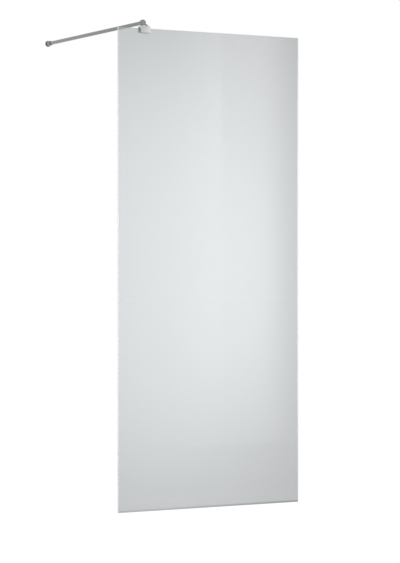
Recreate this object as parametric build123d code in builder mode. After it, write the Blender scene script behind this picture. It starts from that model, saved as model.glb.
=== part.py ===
from build123d import *
from math import sqrt
import os

# A fixed glass shower screen. A round support bar runs from a clamp on the
# top edge of the glass to a socket on the wall behind.
# Frame: origin at the middle of the bottom edge of the glass, X along the
# glass towards the wall it stands against, Y through the glass towards the
# wall that holds the bar, Z up. Millimetres.

# Glass panel
GLASS_WIDTH = 870.0
GLASS_HEIGHT = 2000.0
GLASS_THICKNESS = 8.0
GLASS_ARRIS = 0.8

# Where the bar stands
BAR_FROM_FREE_EDGE = 110.0
WALL_REACH = 915.0

# Support bar
BAR_DIAMETER = 16.0
BAR_WALL = 1.0
BAR_INSERTION = 13.0

# Clamp foot, a saddle cast in one piece, seen from the front
FOOT_LEFT = 10.0
FOOT_DROP = 19.0
SHELF_RISE = 8.5
SHOULDER_RADIUS = 27.0
SHOULDER_ACROSS = 10.0
SHOULDER_DROP = 10.0
FRONT_JAW = 11.5
BACK_JAW = 5.5
FOOT_CORNER = 3.0
FOOT_EDGE = 1.0
CHEEK_GAP = 1.1
CHEEK_ROOT = 1.0

# Liners between the jaws and the glass
PAD_THICKNESS = 1.0
PAD_MARGIN = 3.0
PLATE_THICKNESS = 1.5
PLATE_GAP = 0.3
EDGE_BLOCK_HEIGHT = 2.5
EDGE_BLOCK_INSET = 4.0
EDGE_BLOCK_GROOVE = 3.0
EDGE_BLOCK_GROOVE_DEPTH = 0.8

# Bevel round the keyed end of a screw
SCREW_BEVEL = 0.4

# Set screws that close the clamp
CLAMP_SCREW_DIAMETER = 6.0
CLAMP_SCREW_RECESS = 0.4
CLAMP_SCREW_DROP = 9.5
CLAMP_SCREW_INSET = 11.0
CLAMP_KEY = 3.0
CLAMP_KEY_DEPTH = 2.5

# Swivel head
HEAD_DIAMETER = 26.0
HEAD_LENGTH = 10.0
HEAD_EDGE = 0.8
BAR_SEAT_DEPTH = 1.0

# Cap that hides the bar screw
CAP_DIAMETER = 20.8
CAP_THICKNESS = 1.6
CAP_PROUD = 0.4
CAP_EDGE = 0.4

# Pivot under the head
PIVOT_DIAMETER = 5.0
PIVOT_GRIP = 7.0
PIVOT_HEAD_DIAMETER = 8.5
PIVOT_HEAD_HEIGHT = 4.5
PIVOT_HEAD_RECESS = 2.0
PIVOT_KEY = 4.0
PIVOT_KEY_DEPTH = 2.5
PIVOT_WASHER_THICKNESS = 1.0
BUSH_FLANGE_DIAMETER = 10.5
BUSH_FLANGE_THICKNESS = 1.5
BUSH_WALL = 1.0
BUSH_LENGTH = 11.0

# Screw and plug that hold the bar to the head
BAR_SCREW_DIAMETER = 5.0
BAR_SCREW_HEAD_DIAMETER = 9.3
BAR_SCREW_LENGTH = 20.0
BAR_SCREW_KEY = 3.0
BAR_SCREW_KEY_DEPTH = 1.8
PLUG_LENGTH = 24.0

# Wall socket
HUB_WALL = 2.4
HUB_LENGTH = 33.0
HUB_BACK = 8.0
HUB_EDGE = 0.8
STUD_HOLE_DIAMETER = 5.0
STUD_HOLE_FLOOR = 1.0
STUD_HOLE_CHAMFER = 0.6
HUB_SCREW_DIAMETER = 4.0
HUB_SCREW_FROM_MOUTH = 4.5
HUB_SCREW_RECESS = 0.1
HUB_KEY = 2.0
HUB_KEY_DEPTH = 1.3
WALL_WASHER_THICKNESS = 1.0
WALL_WASHER_MARGIN = 0.6
WALL_WASHER_HOLE = 6.8

# Rose that covers the wall fixing
ROSE_RIM = 3.5
ROSE_DEPTH = 6.5
ROSE_EDGE = 1.2
RING_SECTION = 1.5
RING_FROM_FRONT = 3.0

# Clearances, each one the gap on a radius
RUNNING_GAP = 0.05
SLIDING_GAP = 0.1
THREAD_GAP = 0.02
SEAT_GAP = 0.05
HOLE_GAP = 0.25
RING_GAP = 0.05

# Planes of the clamp, measured from the middle of the glass
glass_face = GLASS_THICKNESS / 2
slot_front = -(glass_face + PAD_THICKNESS)
foot_front = slot_front - FRONT_JAW
plate_front = glass_face + PAD_THICKNESS
slot_back = plate_front + PLATE_THICKNESS + PLATE_GAP
foot_back = slot_back + BACK_JAW

# Head and bar axis
bar_x = BAR_FROM_FREE_EDGE - GLASS_WIDTH / 2
pivot_y = (foot_front + slot_front) / 2
head_radius = HEAD_DIAMETER / 2
head_seat = GLASS_HEIGHT + SHELF_RISE + BUSH_FLANGE_THICKNESS
axis_z = head_seat + sqrt(head_radius**2 - (BUSH_FLANGE_DIAMETER / 2) ** 2)
head_front = pivot_y - HEAD_LENGTH / 2
head_back = pivot_y + HEAD_LENGTH / 2
swing_radius = sqrt(head_radius**2 + (HEAD_LENGTH / 2) ** 2)
cheek_across = swing_radius + CHEEK_GAP

# Bar and wall socket along the bar axis
bar_radius = BAR_DIAMETER / 2
bar_start = head_back - BAR_SEAT_DEPTH
hub_back = WALL_REACH - WALL_WASHER_THICKNESS
hub_mouth = hub_back - HUB_LENGTH
hub_floor = hub_back - HUB_BACK
bar_end = hub_mouth + BAR_INSERTION
hub_bore = bar_radius + SLIDING_GAP
hub_radius = hub_bore + HUB_WALL
rose_bore = hub_radius + SLIDING_GAP
rose_radius = hub_radius + ROSE_RIM
rose_front = WALL_REACH - ROSE_DEPTH


def front_view(y):
    """Plane square to Y that looks like the front view: local x is X, local y is Z."""
    return Plane(origin=(bar_x, y, GLASS_HEIGHT), x_dir=(1, 0, 0), z_dir=(0, -1, 0))


def across_bar(y):
    """Plane square to the bar axis at y, with its normal towards the wall."""
    return Plane(origin=(bar_x, y, axis_z), x_dir=(1, 0, 0), z_dir=(0, 1, 0))


def along_bar():
    """Plane through the bar axis: local x is Y, local y is the radius."""
    return Plane(origin=(bar_x, 0, axis_z), x_dir=(0, 1, 0), z_dir=(1, 0, 0))


def shoulder_across(rise):
    """Distance from the bar axis to the shoulder arc at a height above the glass edge."""
    return SHOULDER_ACROSS + sqrt(SHOULDER_RADIUS**2 - (rise + SHOULDER_DROP) ** 2)


def shoulder_rise(across):
    """Height of the shoulder arc above the glass edge at a distance from the bar axis."""
    return sqrt(SHOULDER_RADIUS**2 - (across - SHOULDER_ACROSS) ** 2) - SHOULDER_DROP


def set_screw(start, diameter, length, key, key_depth):
    """Headless screw along the normal of its start plane, with its key socket at the start."""
    with BuildPart() as screw:
        with BuildSketch(start):
            Circle(diameter / 2)
        extrude(amount=length)
        keyed_end = screw.edges().filter_by(GeomType.CIRCLE).sort_by_distance(start.origin)[0]
        chamfer(keyed_end, SCREW_BEVEL)
        with BuildSketch(start):
            RegularPolygon(key / sqrt(3), 6)
        extrude(amount=key_depth, mode=Mode.SUBTRACT)
    return screw.part


bar_axis = Axis((bar_x, 0, axis_z), (0, 1, 0))
parts = []

# Glass panel with ground arrises and dubbed corners
with BuildPart() as glass_panel:
    with BuildSketch(Plane.XZ.offset(-glass_face)):
        with Locations((0, GLASS_HEIGHT / 2)):
            Rectangle(GLASS_WIDTH, GLASS_HEIGHT)
    extrude(amount=GLASS_THICKNESS)
    chamfer(glass_panel.edges(), GLASS_ARRIS)
glass_panel.part.label = "glass_panel"
parts.append(glass_panel.part)

# Clamp foot: two jaws and a bridge, with a cheek beside the head in front
with BuildPart() as clamp_foot:
    with BuildSketch(front_view(foot_back)):
        with BuildLine():
            saddle_top = (shoulder_across(SHELF_RISE), SHELF_RISE)
            saddle_bottom = (shoulder_across(-FOOT_DROP), -FOOT_DROP)
            shoulder_side = (SHOULDER_ACROSS + SHOULDER_RADIUS, -SHOULDER_DROP)
            ThreePointArc(saddle_top, shoulder_side, saddle_bottom)
            Polyline(saddle_bottom, (-FOOT_LEFT, -FOOT_DROP), (-FOOT_LEFT, SHELF_RISE), saddle_top)
        make_face()
    extrude(amount=foot_back - foot_front)
    with BuildSketch(front_view(slot_front)):
        with BuildLine():
            cheek_top = (cheek_across, shoulder_rise(cheek_across))
            cheek_middle = (cheek_across + saddle_top[0]) / 2
            ThreePointArc(cheek_top, (cheek_middle, shoulder_rise(cheek_middle)), saddle_top)
            Polyline(saddle_top, (cheek_across, SHELF_RISE), cheek_top)
        make_face()
    extrude(amount=FRONT_JAW)
    bottom_corners = clamp_foot.edges().filter_by(Axis.Y).group_by(Axis.Z)[0]
    fillet(bottom_corners, FOOT_CORNER)
    cheek_root = clamp_foot.edges().filter_by(Axis.Y).filter_by_position(
        Axis.X, bar_x + cheek_across - 0.01, bar_x + cheek_across + 0.01
    ).sort_by(Axis.Z)[0]
    fillet(cheek_root, CHEEK_ROOT)
    chamfer(clamp_foot.faces().sort_by(Axis.Y)[0].edges(), FOOT_EDGE)
    with BuildSketch(front_view(slot_back)):
        slot_height = FOOT_DROP + EDGE_BLOCK_HEIGHT
        slot_centre = (EDGE_BLOCK_HEIGHT - FOOT_DROP) / 2
        with Locations((SHOULDER_ACROSS, slot_centre)):
            Rectangle(4 * SHOULDER_RADIUS, slot_height)
    extrude(amount=slot_back - slot_front, mode=Mode.SUBTRACT)
    pivot_floor = PIVOT_HEAD_RECESS + PIVOT_HEAD_HEIGHT + PIVOT_WASHER_THICKNESS
    with BuildSketch(Plane((bar_x, pivot_y, GLASS_HEIGHT - FOOT_DROP))):
        Circle(PIVOT_HEAD_DIAMETER / 2 + HOLE_GAP)
    extrude(amount=pivot_floor, mode=Mode.SUBTRACT)
    with BuildSketch(Plane((bar_x, pivot_y, GLASS_HEIGHT - FOOT_DROP))):
        Circle(PIVOT_DIAMETER / 2 + HOLE_GAP)
    extrude(amount=FOOT_DROP + SHELF_RISE, mode=Mode.SUBTRACT)
    with BuildSketch(Plane((bar_x, pivot_y, GLASS_HEIGHT + SHELF_RISE))):
        Circle(PIVOT_DIAMETER / 2 + RUNNING_GAP + BUSH_WALL + SEAT_GAP)
    extrude(amount=-BUSH_LENGTH, mode=Mode.SUBTRACT)
    screw_left = CLAMP_SCREW_INSET - FOOT_LEFT
    screw_right = SHOULDER_ACROSS + SHOULDER_RADIUS - CLAMP_SCREW_INSET
    screw_spots = [(screw_left, -CLAMP_SCREW_DROP), (screw_right, -CLAMP_SCREW_DROP)]
    with BuildSketch(front_view(foot_back)):
        with Locations(*screw_spots):
            Circle(CLAMP_SCREW_DIAMETER / 2 + THREAD_GAP)
    extrude(amount=BACK_JAW, mode=Mode.SUBTRACT)
clamp_foot.part.label = "clamp_foot"
parts.append(clamp_foot.part)

# Outline that the two pads and the pressure plate share
pad_left = PAD_MARGIN - FOOT_LEFT
pad_right = shoulder_across(-FOOT_DROP) - PAD_MARGIN
pad_bottom = PAD_MARGIN - FOOT_DROP
pad_size = (pad_right - pad_left, -pad_bottom)
pad_middle = ((pad_left + pad_right) / 2, pad_bottom / 2)

# Front pad, between the front jaw and the glass
with BuildPart() as front_pad:
    with BuildSketch(front_view(-glass_face)):
        with Locations(pad_middle):
            Rectangle(*pad_size)
    extrude(amount=PAD_THICKNESS)
front_pad.part.label = "front_pad"
parts.append(front_pad.part)

# Back pad, between the glass and the pressure plate
with BuildPart() as back_pad:
    with BuildSketch(front_view(plate_front)):
        with Locations(pad_middle):
            Rectangle(*pad_size)
    extrude(amount=PAD_THICKNESS)
back_pad.part.label = "back_pad"
parts.append(back_pad.part)

# Pressure plate, which spreads the push of the set screws
with BuildPart() as pressure_plate:
    with BuildSketch(front_view(plate_front + PLATE_THICKNESS)):
        with Locations(pad_middle):
            Rectangle(*pad_size)
    extrude(amount=PLATE_THICKNESS)
pressure_plate.part.label = "pressure_plate"
parts.append(pressure_plate.part)

# Edge block, which keeps the bridge off the top edge of the glass
with BuildPart() as edge_block:
    block_left = EDGE_BLOCK_INSET - FOOT_LEFT
    block_right = shoulder_across(SHELF_RISE) - EDGE_BLOCK_INSET
    with BuildSketch(Plane((bar_x, 0, GLASS_HEIGHT))):
        with Locations(((block_left + block_right) / 2, 0)):
            Rectangle(block_right - block_left, GLASS_THICKNESS)
    extrude(amount=EDGE_BLOCK_HEIGHT)
    with BuildSketch(Plane((bar_x, 0, GLASS_HEIGHT))):
        with Locations(((block_left + block_right) / 2, 0)):
            Rectangle(block_right - block_left, EDGE_BLOCK_GROOVE)
    extrude(amount=EDGE_BLOCK_GROOVE_DEPTH, mode=Mode.SUBTRACT)
    chamfer(edge_block.edges().filter_by(Axis.Z), EDGE_BLOCK_GROOVE_DEPTH)
edge_block.part.label = "edge_block"
parts.append(edge_block.part)

# Two set screws through the back jaw
clamp_screw_length = foot_back - CLAMP_SCREW_RECESS - plate_front - PLATE_THICKNESS
with BuildPart() as clamp_screws:
    for across, rise in screw_spots:
        screw_start = Plane(
            origin=(bar_x + across, foot_back - CLAMP_SCREW_RECESS, GLASS_HEIGHT + rise),
            x_dir=(1, 0, 0),
            z_dir=(0, -1, 0),
        )
        add(set_screw(screw_start, CLAMP_SCREW_DIAMETER, clamp_screw_length, CLAMP_KEY, CLAMP_KEY_DEPTH))
clamp_screws.part.label = "clamp_screws"
parts.append(clamp_screws.part)

# Flanged bush that the pivot screw turns in
with BuildPart() as pivot_bush:
    with BuildSketch(Plane((bar_x, pivot_y, GLASS_HEIGHT + SHELF_RISE))):
        Circle(BUSH_FLANGE_DIAMETER / 2)
    extrude(amount=BUSH_FLANGE_THICKNESS)
    with BuildSketch(Plane((bar_x, pivot_y, GLASS_HEIGHT + SHELF_RISE))):
        Circle(PIVOT_DIAMETER / 2 + RUNNING_GAP + BUSH_WALL)
    extrude(amount=-BUSH_LENGTH)
    with BuildSketch(Plane((bar_x, pivot_y, GLASS_HEIGHT + SHELF_RISE - BUSH_LENGTH))):
        Circle(PIVOT_DIAMETER / 2 + RUNNING_GAP)
    extrude(amount=BUSH_LENGTH + BUSH_FLANGE_THICKNESS, mode=Mode.SUBTRACT)
pivot_bush.part.label = "pivot_bush"
parts.append(pivot_bush.part)

# Washer under the head of the pivot screw
pivot_washer_z = GLASS_HEIGHT - FOOT_DROP + PIVOT_HEAD_RECESS + PIVOT_HEAD_HEIGHT
with BuildPart() as pivot_washer:
    with BuildSketch(Plane((bar_x, pivot_y, pivot_washer_z))):
        Circle(PIVOT_HEAD_DIAMETER / 2)
        Circle(PIVOT_DIAMETER / 2 + SLIDING_GAP, mode=Mode.SUBTRACT)
    extrude(amount=PIVOT_WASHER_THICKNESS)
pivot_washer.part.label = "pivot_washer"
parts.append(pivot_washer.part)

# Pivot screw, up through the front jaw into the head
with BuildPart() as pivot_screw:
    with BuildSketch(Plane((bar_x, pivot_y, pivot_washer_z))):
        Circle(PIVOT_HEAD_DIAMETER / 2)
    extrude(amount=-PIVOT_HEAD_HEIGHT)
    chamfer(pivot_screw.edges().sort_by(Axis.Z)[0], SCREW_BEVEL)
    with BuildSketch(Plane((bar_x, pivot_y, pivot_washer_z))):
        Circle(PIVOT_DIAMETER / 2)
    extrude(amount=head_seat + PIVOT_GRIP - pivot_washer_z)
    with BuildSketch(Plane((bar_x, pivot_y, pivot_washer_z - PIVOT_HEAD_HEIGHT))):
        RegularPolygon(PIVOT_KEY / sqrt(3), 6)
    extrude(amount=PIVOT_KEY_DEPTH, mode=Mode.SUBTRACT)
pivot_screw.part.label = "pivot_screw"
parts.append(pivot_screw.part)

# Swivel head: a turned disc on the bar axis, flat underneath where it seats
cap_floor = head_front + CAP_THICKNESS
bar_screw_cone = (BAR_SCREW_HEAD_DIAMETER - BAR_SCREW_DIAMETER) / 2
with BuildPart() as swivel_head:
    with BuildSketch(across_bar(head_front)):
        Circle(head_radius)
    extrude(amount=HEAD_LENGTH)
    chamfer(swivel_head.edges().sort_by(Axis.Y)[0], HEAD_EDGE)
    with BuildSketch(across_bar(head_front)):
        Circle(CAP_DIAMETER / 2 + SEAT_GAP)
    extrude(amount=CAP_THICKNESS, mode=Mode.SUBTRACT)
    with BuildSketch(across_bar(cap_floor)):
        Circle(BAR_SCREW_DIAMETER / 2 + SEAT_GAP)
    extrude(amount=HEAD_LENGTH, mode=Mode.SUBTRACT)
    with BuildSketch(along_bar()):
        cone_start = (cap_floor, BAR_SCREW_HEAD_DIAMETER / 2 + SEAT_GAP)
        cone_end = (cap_floor + bar_screw_cone, BAR_SCREW_DIAMETER / 2 + SEAT_GAP)
        with BuildLine():
            Polyline((cap_floor, 0), cone_start, cone_end, (cone_end[0], 0), close=True)
        make_face()
    revolve(axis=bar_axis, mode=Mode.SUBTRACT)
    with BuildSketch(across_bar(head_back)):
        Circle(bar_radius + SEAT_GAP)
    extrude(amount=-BAR_SEAT_DEPTH, mode=Mode.SUBTRACT)
    with BuildSketch(Plane((bar_x, pivot_y, head_seat))):
        Rectangle(HEAD_DIAMETER, 2 * HEAD_LENGTH)
    extrude(amount=-head_radius, mode=Mode.SUBTRACT)
    with BuildSketch(Plane((bar_x, pivot_y, head_seat))):
        Circle(PIVOT_DIAMETER / 2 + THREAD_GAP)
    extrude(amount=PIVOT_GRIP, mode=Mode.SUBTRACT)
swivel_head.part.label = "swivel_head"
parts.append(swivel_head.part)

# Cap pressed into the front of the head, a little proud and bevelled round its rim
with BuildPart() as head_cap:
    with BuildSketch(across_bar(head_front - CAP_PROUD)):
        Circle(CAP_DIAMETER / 2)
    extrude(amount=CAP_THICKNESS + CAP_PROUD)
    chamfer(head_cap.edges().sort_by(Axis.Y)[0], CAP_EDGE)
head_cap.part.label = "head_cap"
parts.append(head_cap.part)

# Countersunk screw from the head into the plug of the bar
with BuildPart() as bar_screw:
    with BuildSketch(along_bar()):
        screw_point = cap_floor + BAR_SCREW_LENGTH
        with BuildLine():
            Polyline(
                (cap_floor, 0),
                (cap_floor, BAR_SCREW_HEAD_DIAMETER / 2),
                (cap_floor + bar_screw_cone, BAR_SCREW_DIAMETER / 2),
                (screw_point, BAR_SCREW_DIAMETER / 2),
                (screw_point, 0),
                close=True,
            )
        make_face()
    revolve(axis=bar_axis)
    with BuildSketch(across_bar(cap_floor)):
        RegularPolygon(BAR_SCREW_KEY / sqrt(3), 6)
    extrude(amount=BAR_SCREW_KEY_DEPTH, mode=Mode.SUBTRACT)
bar_screw.part.label = "bar_screw"
parts.append(bar_screw.part)

# Threaded plug in the end of the bar
plug_radius = bar_radius - BAR_WALL - SEAT_GAP
with BuildPart() as bar_plug:
    with BuildSketch(across_bar(bar_start)):
        Circle(plug_radius)
        Circle(BAR_SCREW_DIAMETER / 2 + THREAD_GAP, mode=Mode.SUBTRACT)
    extrude(amount=PLUG_LENGTH)
bar_plug.part.label = "bar_plug"
parts.append(bar_plug.part)

# Support bar, a straight round tube
with BuildPart() as support_bar:
    with BuildSketch(across_bar(bar_start)):
        Circle(bar_radius)
        Circle(bar_radius - BAR_WALL, mode=Mode.SUBTRACT)
    extrude(amount=bar_end - bar_start)
support_bar.part.label = "support_bar"
parts.append(support_bar.part)

# Wall hub: the bar slides in from the front and a wall stud screws in from the back
with BuildPart() as wall_hub:
    with BuildSketch(across_bar(hub_mouth)):
        Circle(hub_radius)
    extrude(amount=HUB_LENGTH)
    chamfer(wall_hub.edges().sort_by(Axis.Y)[0], HUB_EDGE)
    with BuildSketch(across_bar(hub_mouth)):
        Circle(hub_bore)
    extrude(amount=hub_floor - hub_mouth, mode=Mode.SUBTRACT)
    with BuildSketch(across_bar(hub_back)):
        Circle(STUD_HOLE_DIAMETER / 2)
    extrude(amount=STUD_HOLE_FLOOR - HUB_BACK, mode=Mode.SUBTRACT)
    stud_mouth = wall_hub.faces().sort_by(Axis.Y)[-1].inner_wires().edges()
    chamfer(stud_mouth, STUD_HOLE_CHAMFER)
    with BuildSketch(Plane((bar_x, hub_mouth + HUB_SCREW_FROM_MOUTH, axis_z))):
        Circle(HUB_SCREW_DIAMETER / 2 + THREAD_GAP)
    extrude(amount=-2 * hub_radius, mode=Mode.SUBTRACT)
wall_hub.part.label = "wall_hub"
parts.append(wall_hub.part)

# Set screw under the hub, which grips the bar
hub_screw_start = Plane(
    origin=(bar_x, hub_mouth + HUB_SCREW_FROM_MOUTH, axis_z - hub_radius + HUB_SCREW_RECESS),
    x_dir=(1, 0, 0),
    z_dir=(0, 0, 1),
)
hub_screw_length = hub_radius - HUB_SCREW_RECESS - hub_bore
with BuildPart() as hub_screw:
    add(set_screw(hub_screw_start, HUB_SCREW_DIAMETER, hub_screw_length, HUB_KEY, HUB_KEY_DEPTH))
hub_screw.part.label = "hub_screw"
parts.append(hub_screw.part)

# Washer between the hub and the tiles
with BuildPart() as wall_washer:
    with BuildSketch(across_bar(hub_back)):
        Circle(hub_radius - WALL_WASHER_MARGIN)
        Circle(WALL_WASHER_HOLE / 2, mode=Mode.SUBTRACT)
    extrude(amount=WALL_WASHER_THICKNESS)
wall_washer.part.label = "wall_washer"
parts.append(wall_washer.part)

# Wall rose, which slides on the hub, with a groove for its ring inside
ring_centre = rose_front + RING_FROM_FRONT
ring_radius = hub_radius + RING_GAP + RING_SECTION / 2
with BuildPart() as wall_rose:
    with BuildSketch(across_bar(rose_front)):
        Circle(rose_radius)
    extrude(amount=ROSE_DEPTH)
    chamfer(wall_rose.edges().sort_by(Axis.Y)[0], ROSE_EDGE)
    with BuildSketch(across_bar(rose_front)):
        Circle(rose_bore)
    extrude(amount=ROSE_DEPTH, mode=Mode.SUBTRACT)
    with BuildSketch(across_bar(ring_centre - RING_SECTION / 2 - RING_GAP)):
        Circle(ring_radius + RING_SECTION / 2 + RING_GAP)
    extrude(amount=RING_SECTION + 2 * RING_GAP, mode=Mode.SUBTRACT)
wall_rose.part.label = "wall_rose"
parts.append(wall_rose.part)

# Rubber ring, square in section, that holds the rose on the hub
with BuildPart() as rose_ring:
    with BuildSketch(across_bar(ring_centre - RING_SECTION / 2)):
        Circle(ring_radius + RING_SECTION / 2)
        Circle(ring_radius - RING_SECTION / 2, mode=Mode.SUBTRACT)
    extrude(amount=RING_SECTION)
rose_ring.part.label = "rose_ring"
parts.append(rose_ring.part)

os.makedirs("parts", exist_ok=True)
for piece in parts:
    export_step(piece, f"parts/{piece.label}.step")
    box = piece.bounding_box()
    print(piece.label, round(piece.volume, 1), [round(v, 2) for v in (*box.min, *box.max)])
print("bar axis above the glass", round(axis_z - GLASS_HEIGHT, 3), "pivot", round(pivot_y, 3))
print("bar length", round(bar_end - bar_start, 2), "hub mouth", hub_mouth, "bar end", bar_end)
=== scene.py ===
"""Looks of a fixed glass shower screen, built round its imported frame.

The frame of the part, in metres: origin at the middle of the bottom edge of the glass, X along the
glass, Y through it towards the wall that holds the support bar, Z up.
"""

from __future__ import annotations

import logging
import math
from collections.abc import Iterable, Mapping, Sequence
from dataclasses import dataclass, field
from enum import Enum
from functools import cache
from typing import Any

import bmesh
import bpy
from mathutils import Matrix, Vector

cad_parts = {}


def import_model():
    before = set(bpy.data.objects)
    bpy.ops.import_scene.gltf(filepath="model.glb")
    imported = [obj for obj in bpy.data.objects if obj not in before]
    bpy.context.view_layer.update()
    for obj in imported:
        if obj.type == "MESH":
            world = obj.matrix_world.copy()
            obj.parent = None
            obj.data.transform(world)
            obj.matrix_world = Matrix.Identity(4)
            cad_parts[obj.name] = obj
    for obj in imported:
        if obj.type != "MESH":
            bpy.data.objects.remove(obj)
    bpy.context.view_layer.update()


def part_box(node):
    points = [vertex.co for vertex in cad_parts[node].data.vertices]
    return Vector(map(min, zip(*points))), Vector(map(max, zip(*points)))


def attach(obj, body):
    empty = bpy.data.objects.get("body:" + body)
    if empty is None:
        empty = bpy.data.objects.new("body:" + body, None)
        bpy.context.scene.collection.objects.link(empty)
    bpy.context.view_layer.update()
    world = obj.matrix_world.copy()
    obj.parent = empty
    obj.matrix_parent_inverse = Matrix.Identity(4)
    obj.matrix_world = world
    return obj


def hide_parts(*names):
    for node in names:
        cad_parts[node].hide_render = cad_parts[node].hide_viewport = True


LOG = logging.getLogger("shower_screen")
MM = 0.001
GLASS_IOR = 1.5
BLACK = (0.0, 0.0, 0.0, 1.0)
WHITE = (1.0, 1.0, 1.0, 1.0)
OVERRUN = 1.0 * MM  # how far a cutter starts outside the piece
CUTTER_CORNER = 1.0 * MM
CRISP_ANGLE = math.radians(32)  # faces that meet at more than this are shaded with an edge
SOFTENED_ANGLE = math.radians(40)  # edges that turn by more than this are softened

Colour = tuple[float, float, float]


# Shader expressions


@dataclass(frozen=True)
class Wire:
    """An output socket of a material, whose arithmetic adds Math nodes."""

    nodes: Nodes
    socket: bpy.types.NodeSocket

    def __add__(self, other: Wire | float) -> Wire:
        """Sum of two values."""
        return self.nodes.maths("ADD", self, other)

    __radd__ = __add__

    def __sub__(self, other: Wire | float) -> Wire:
        """This value less another."""
        return self.nodes.maths("SUBTRACT", self, other)

    def __rsub__(self, other: float) -> Wire:
        """A number less this value."""
        return self.nodes.maths("SUBTRACT", other, self)

    def __mul__(self, other: Wire | float) -> Wire:
        """Product of two values."""
        return self.nodes.maths("MULTIPLY", self, other)

    __rmul__ = __mul__


Feed = Wire | float | Sequence[float]


class Nodes:
    """The node tree of one material."""

    def __init__(self, name: str) -> None:
        """Starts an empty material."""
        self.material = bpy.data.materials.new(name)
        self.material.use_nodes = True
        self.tree = self.material.node_tree
        self.tree.nodes.clear()

    def add(
        self,
        kind: str,
        settings: Mapping[str, Any] | None = None,
        feeds: Mapping[str, Feed] | None = None,
    ) -> bpy.types.Node:
        """Adds a node.

        Args:
            kind: type of the node, without its ShaderNode prefix.
            settings: properties of the node, which are set first.
            feeds: values or wires of its inputs, by name or identifier.

        Returns:
            The node.
        """
        node = self.tree.nodes.new(f"ShaderNode{kind}")
        for name, value in (settings or {}).items():
            setattr(node, name, value)
        for name, value in (feeds or {}).items():
            socket = self.find(node.inputs, name)
            if isinstance(value, Wire):
                self.tree.links.new(value.socket, socket)
            else:
                socket.default_value = value
        return node

    @staticmethod
    def find(sockets: Iterable[bpy.types.NodeSocket], name: str) -> bpy.types.NodeSocket:
        """The enabled socket with that identifier or name."""
        live = [socket for socket in sockets if socket.enabled]
        return next(
            socket
            for key in ("identifier", "name")
            for socket in live
            if getattr(socket, key) == name
        )

    def wire(self, node: bpy.types.Node, output: str) -> Wire:
        """An output of a node, as a value for expressions."""
        return Wire(self, self.find(node.outputs, output))

    def maths(self, operation: str, *values: Wire | float) -> Wire:
        """Adds a Math node for up to three values."""
        names = ("Value", "Value_001", "Value_002")
        node = self.add("Math", {"operation": operation}, dict(zip(names, values)))
        return self.wire(node, "Value")

    def vector(self, operation: str, *values: Feed) -> bpy.types.Node:
        """Adds a Vector Math node for up to two vectors."""
        names = ("Vector", "Vector_001")
        return self.add("VectorMath", {"operation": operation}, dict(zip(names, values)))

    def blend(self, factor: Wire | float, first: Feed, second: Feed) -> Wire:
        """Colour between two others."""
        feeds = {"Factor_Float": factor, "A_Color": first, "B_Color": second}
        node = self.add("Mix", {"data_type": "RGBA"}, feeds)
        return self.wire(node, "Result_Color")

    def ease(self, value: Wire, low: float, high: float) -> Wire:
        """Value carried smoothly from 0 at low to 1 at high, which may be the smaller of the two."""
        feeds = {"Value": value, "From Min": low, "From Max": high}
        node = self.add("MapRange", {"interpolation_type": "SMOOTHSTEP"}, feeds)
        return self.wire(node, "Result")

    def place(self) -> Wire:
        """Point of the surface in the piece's own axes."""
        return self.wire(self.add("TexCoord"), "Object")

    def stretched(self, point: Wire, scale: Sequence[float]) -> Wire:
        """Point with each axis scaled."""
        return self.wire(self.vector("MULTIPLY", point, scale), "Vector")

    def noise(self, point: Wire, scale: float, detail: float = 3.0) -> Wire:
        """Cloudy value about a half, for a point in metres and a scale in clouds per metre."""
        feeds = {"Vector": point, "Scale": scale, "Detail": detail}
        return self.wire(self.add("TexNoise", None, feeds), "Fac")

    def bump(self, height: Wire, depth: float) -> Wire:
        """Surface normal of a relief of that depth in metres."""
        node = self.add("Bump", None, {"Height": height, "Distance": depth, "Strength": 1.0})
        return self.wire(node, "Normal")

    def principled(self, feeds: Mapping[str, Feed]) -> bpy.types.Material:
        """Ends the tree in one Principled surface.

        Args:
            feeds: values or wires of the inputs of that surface.

        Returns:
            The finished material.
        """
        surface = self.wire(self.add("BsdfPrincipled", None, feeds), "BSDF")
        self.add("OutputMaterial", None, {"Surface": surface})
        return self.material


# Finishes


def opaque(colour: Colour) -> tuple[float, ...]:
    """A colour as a socket takes it."""
    return (*colour, 1.0)


class Grain(Enum):
    """How the marks of making run on a metal."""

    DRAWN = "along the axis of the piece"
    TURNED = "round the axis of the piece"
    CAST = "the same every way"

    def marks(self, nodes: Nodes, size: float) -> Wire:
        """Relief of the marks.

        Args:
            nodes: material that gets the marks.
            size: distance between marks, in metres.

        Returns:
            A value about a half, high on the ridges.
        """
        point = nodes.place()
        if self is Grain.DRAWN:
            point = nodes.stretched(point, (1.0, 1.0, 0.01))
        if self is Grain.TURNED:
            axes = nodes.add("SeparateXYZ", None, {"Vector": point})
            off_axis = nodes.vector("LENGTH", nodes.stretched(point, (1.0, 1.0, 0.0)))
            feeds = {"X": nodes.wire(off_axis, "Value"), "Z": nodes.wire(axes, "Z")}
            point = nodes.wire(nodes.add("CombineXYZ", None, feeds), "Vector")
        return nodes.noise(point, 1.0 / size, detail=2.0)


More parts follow.
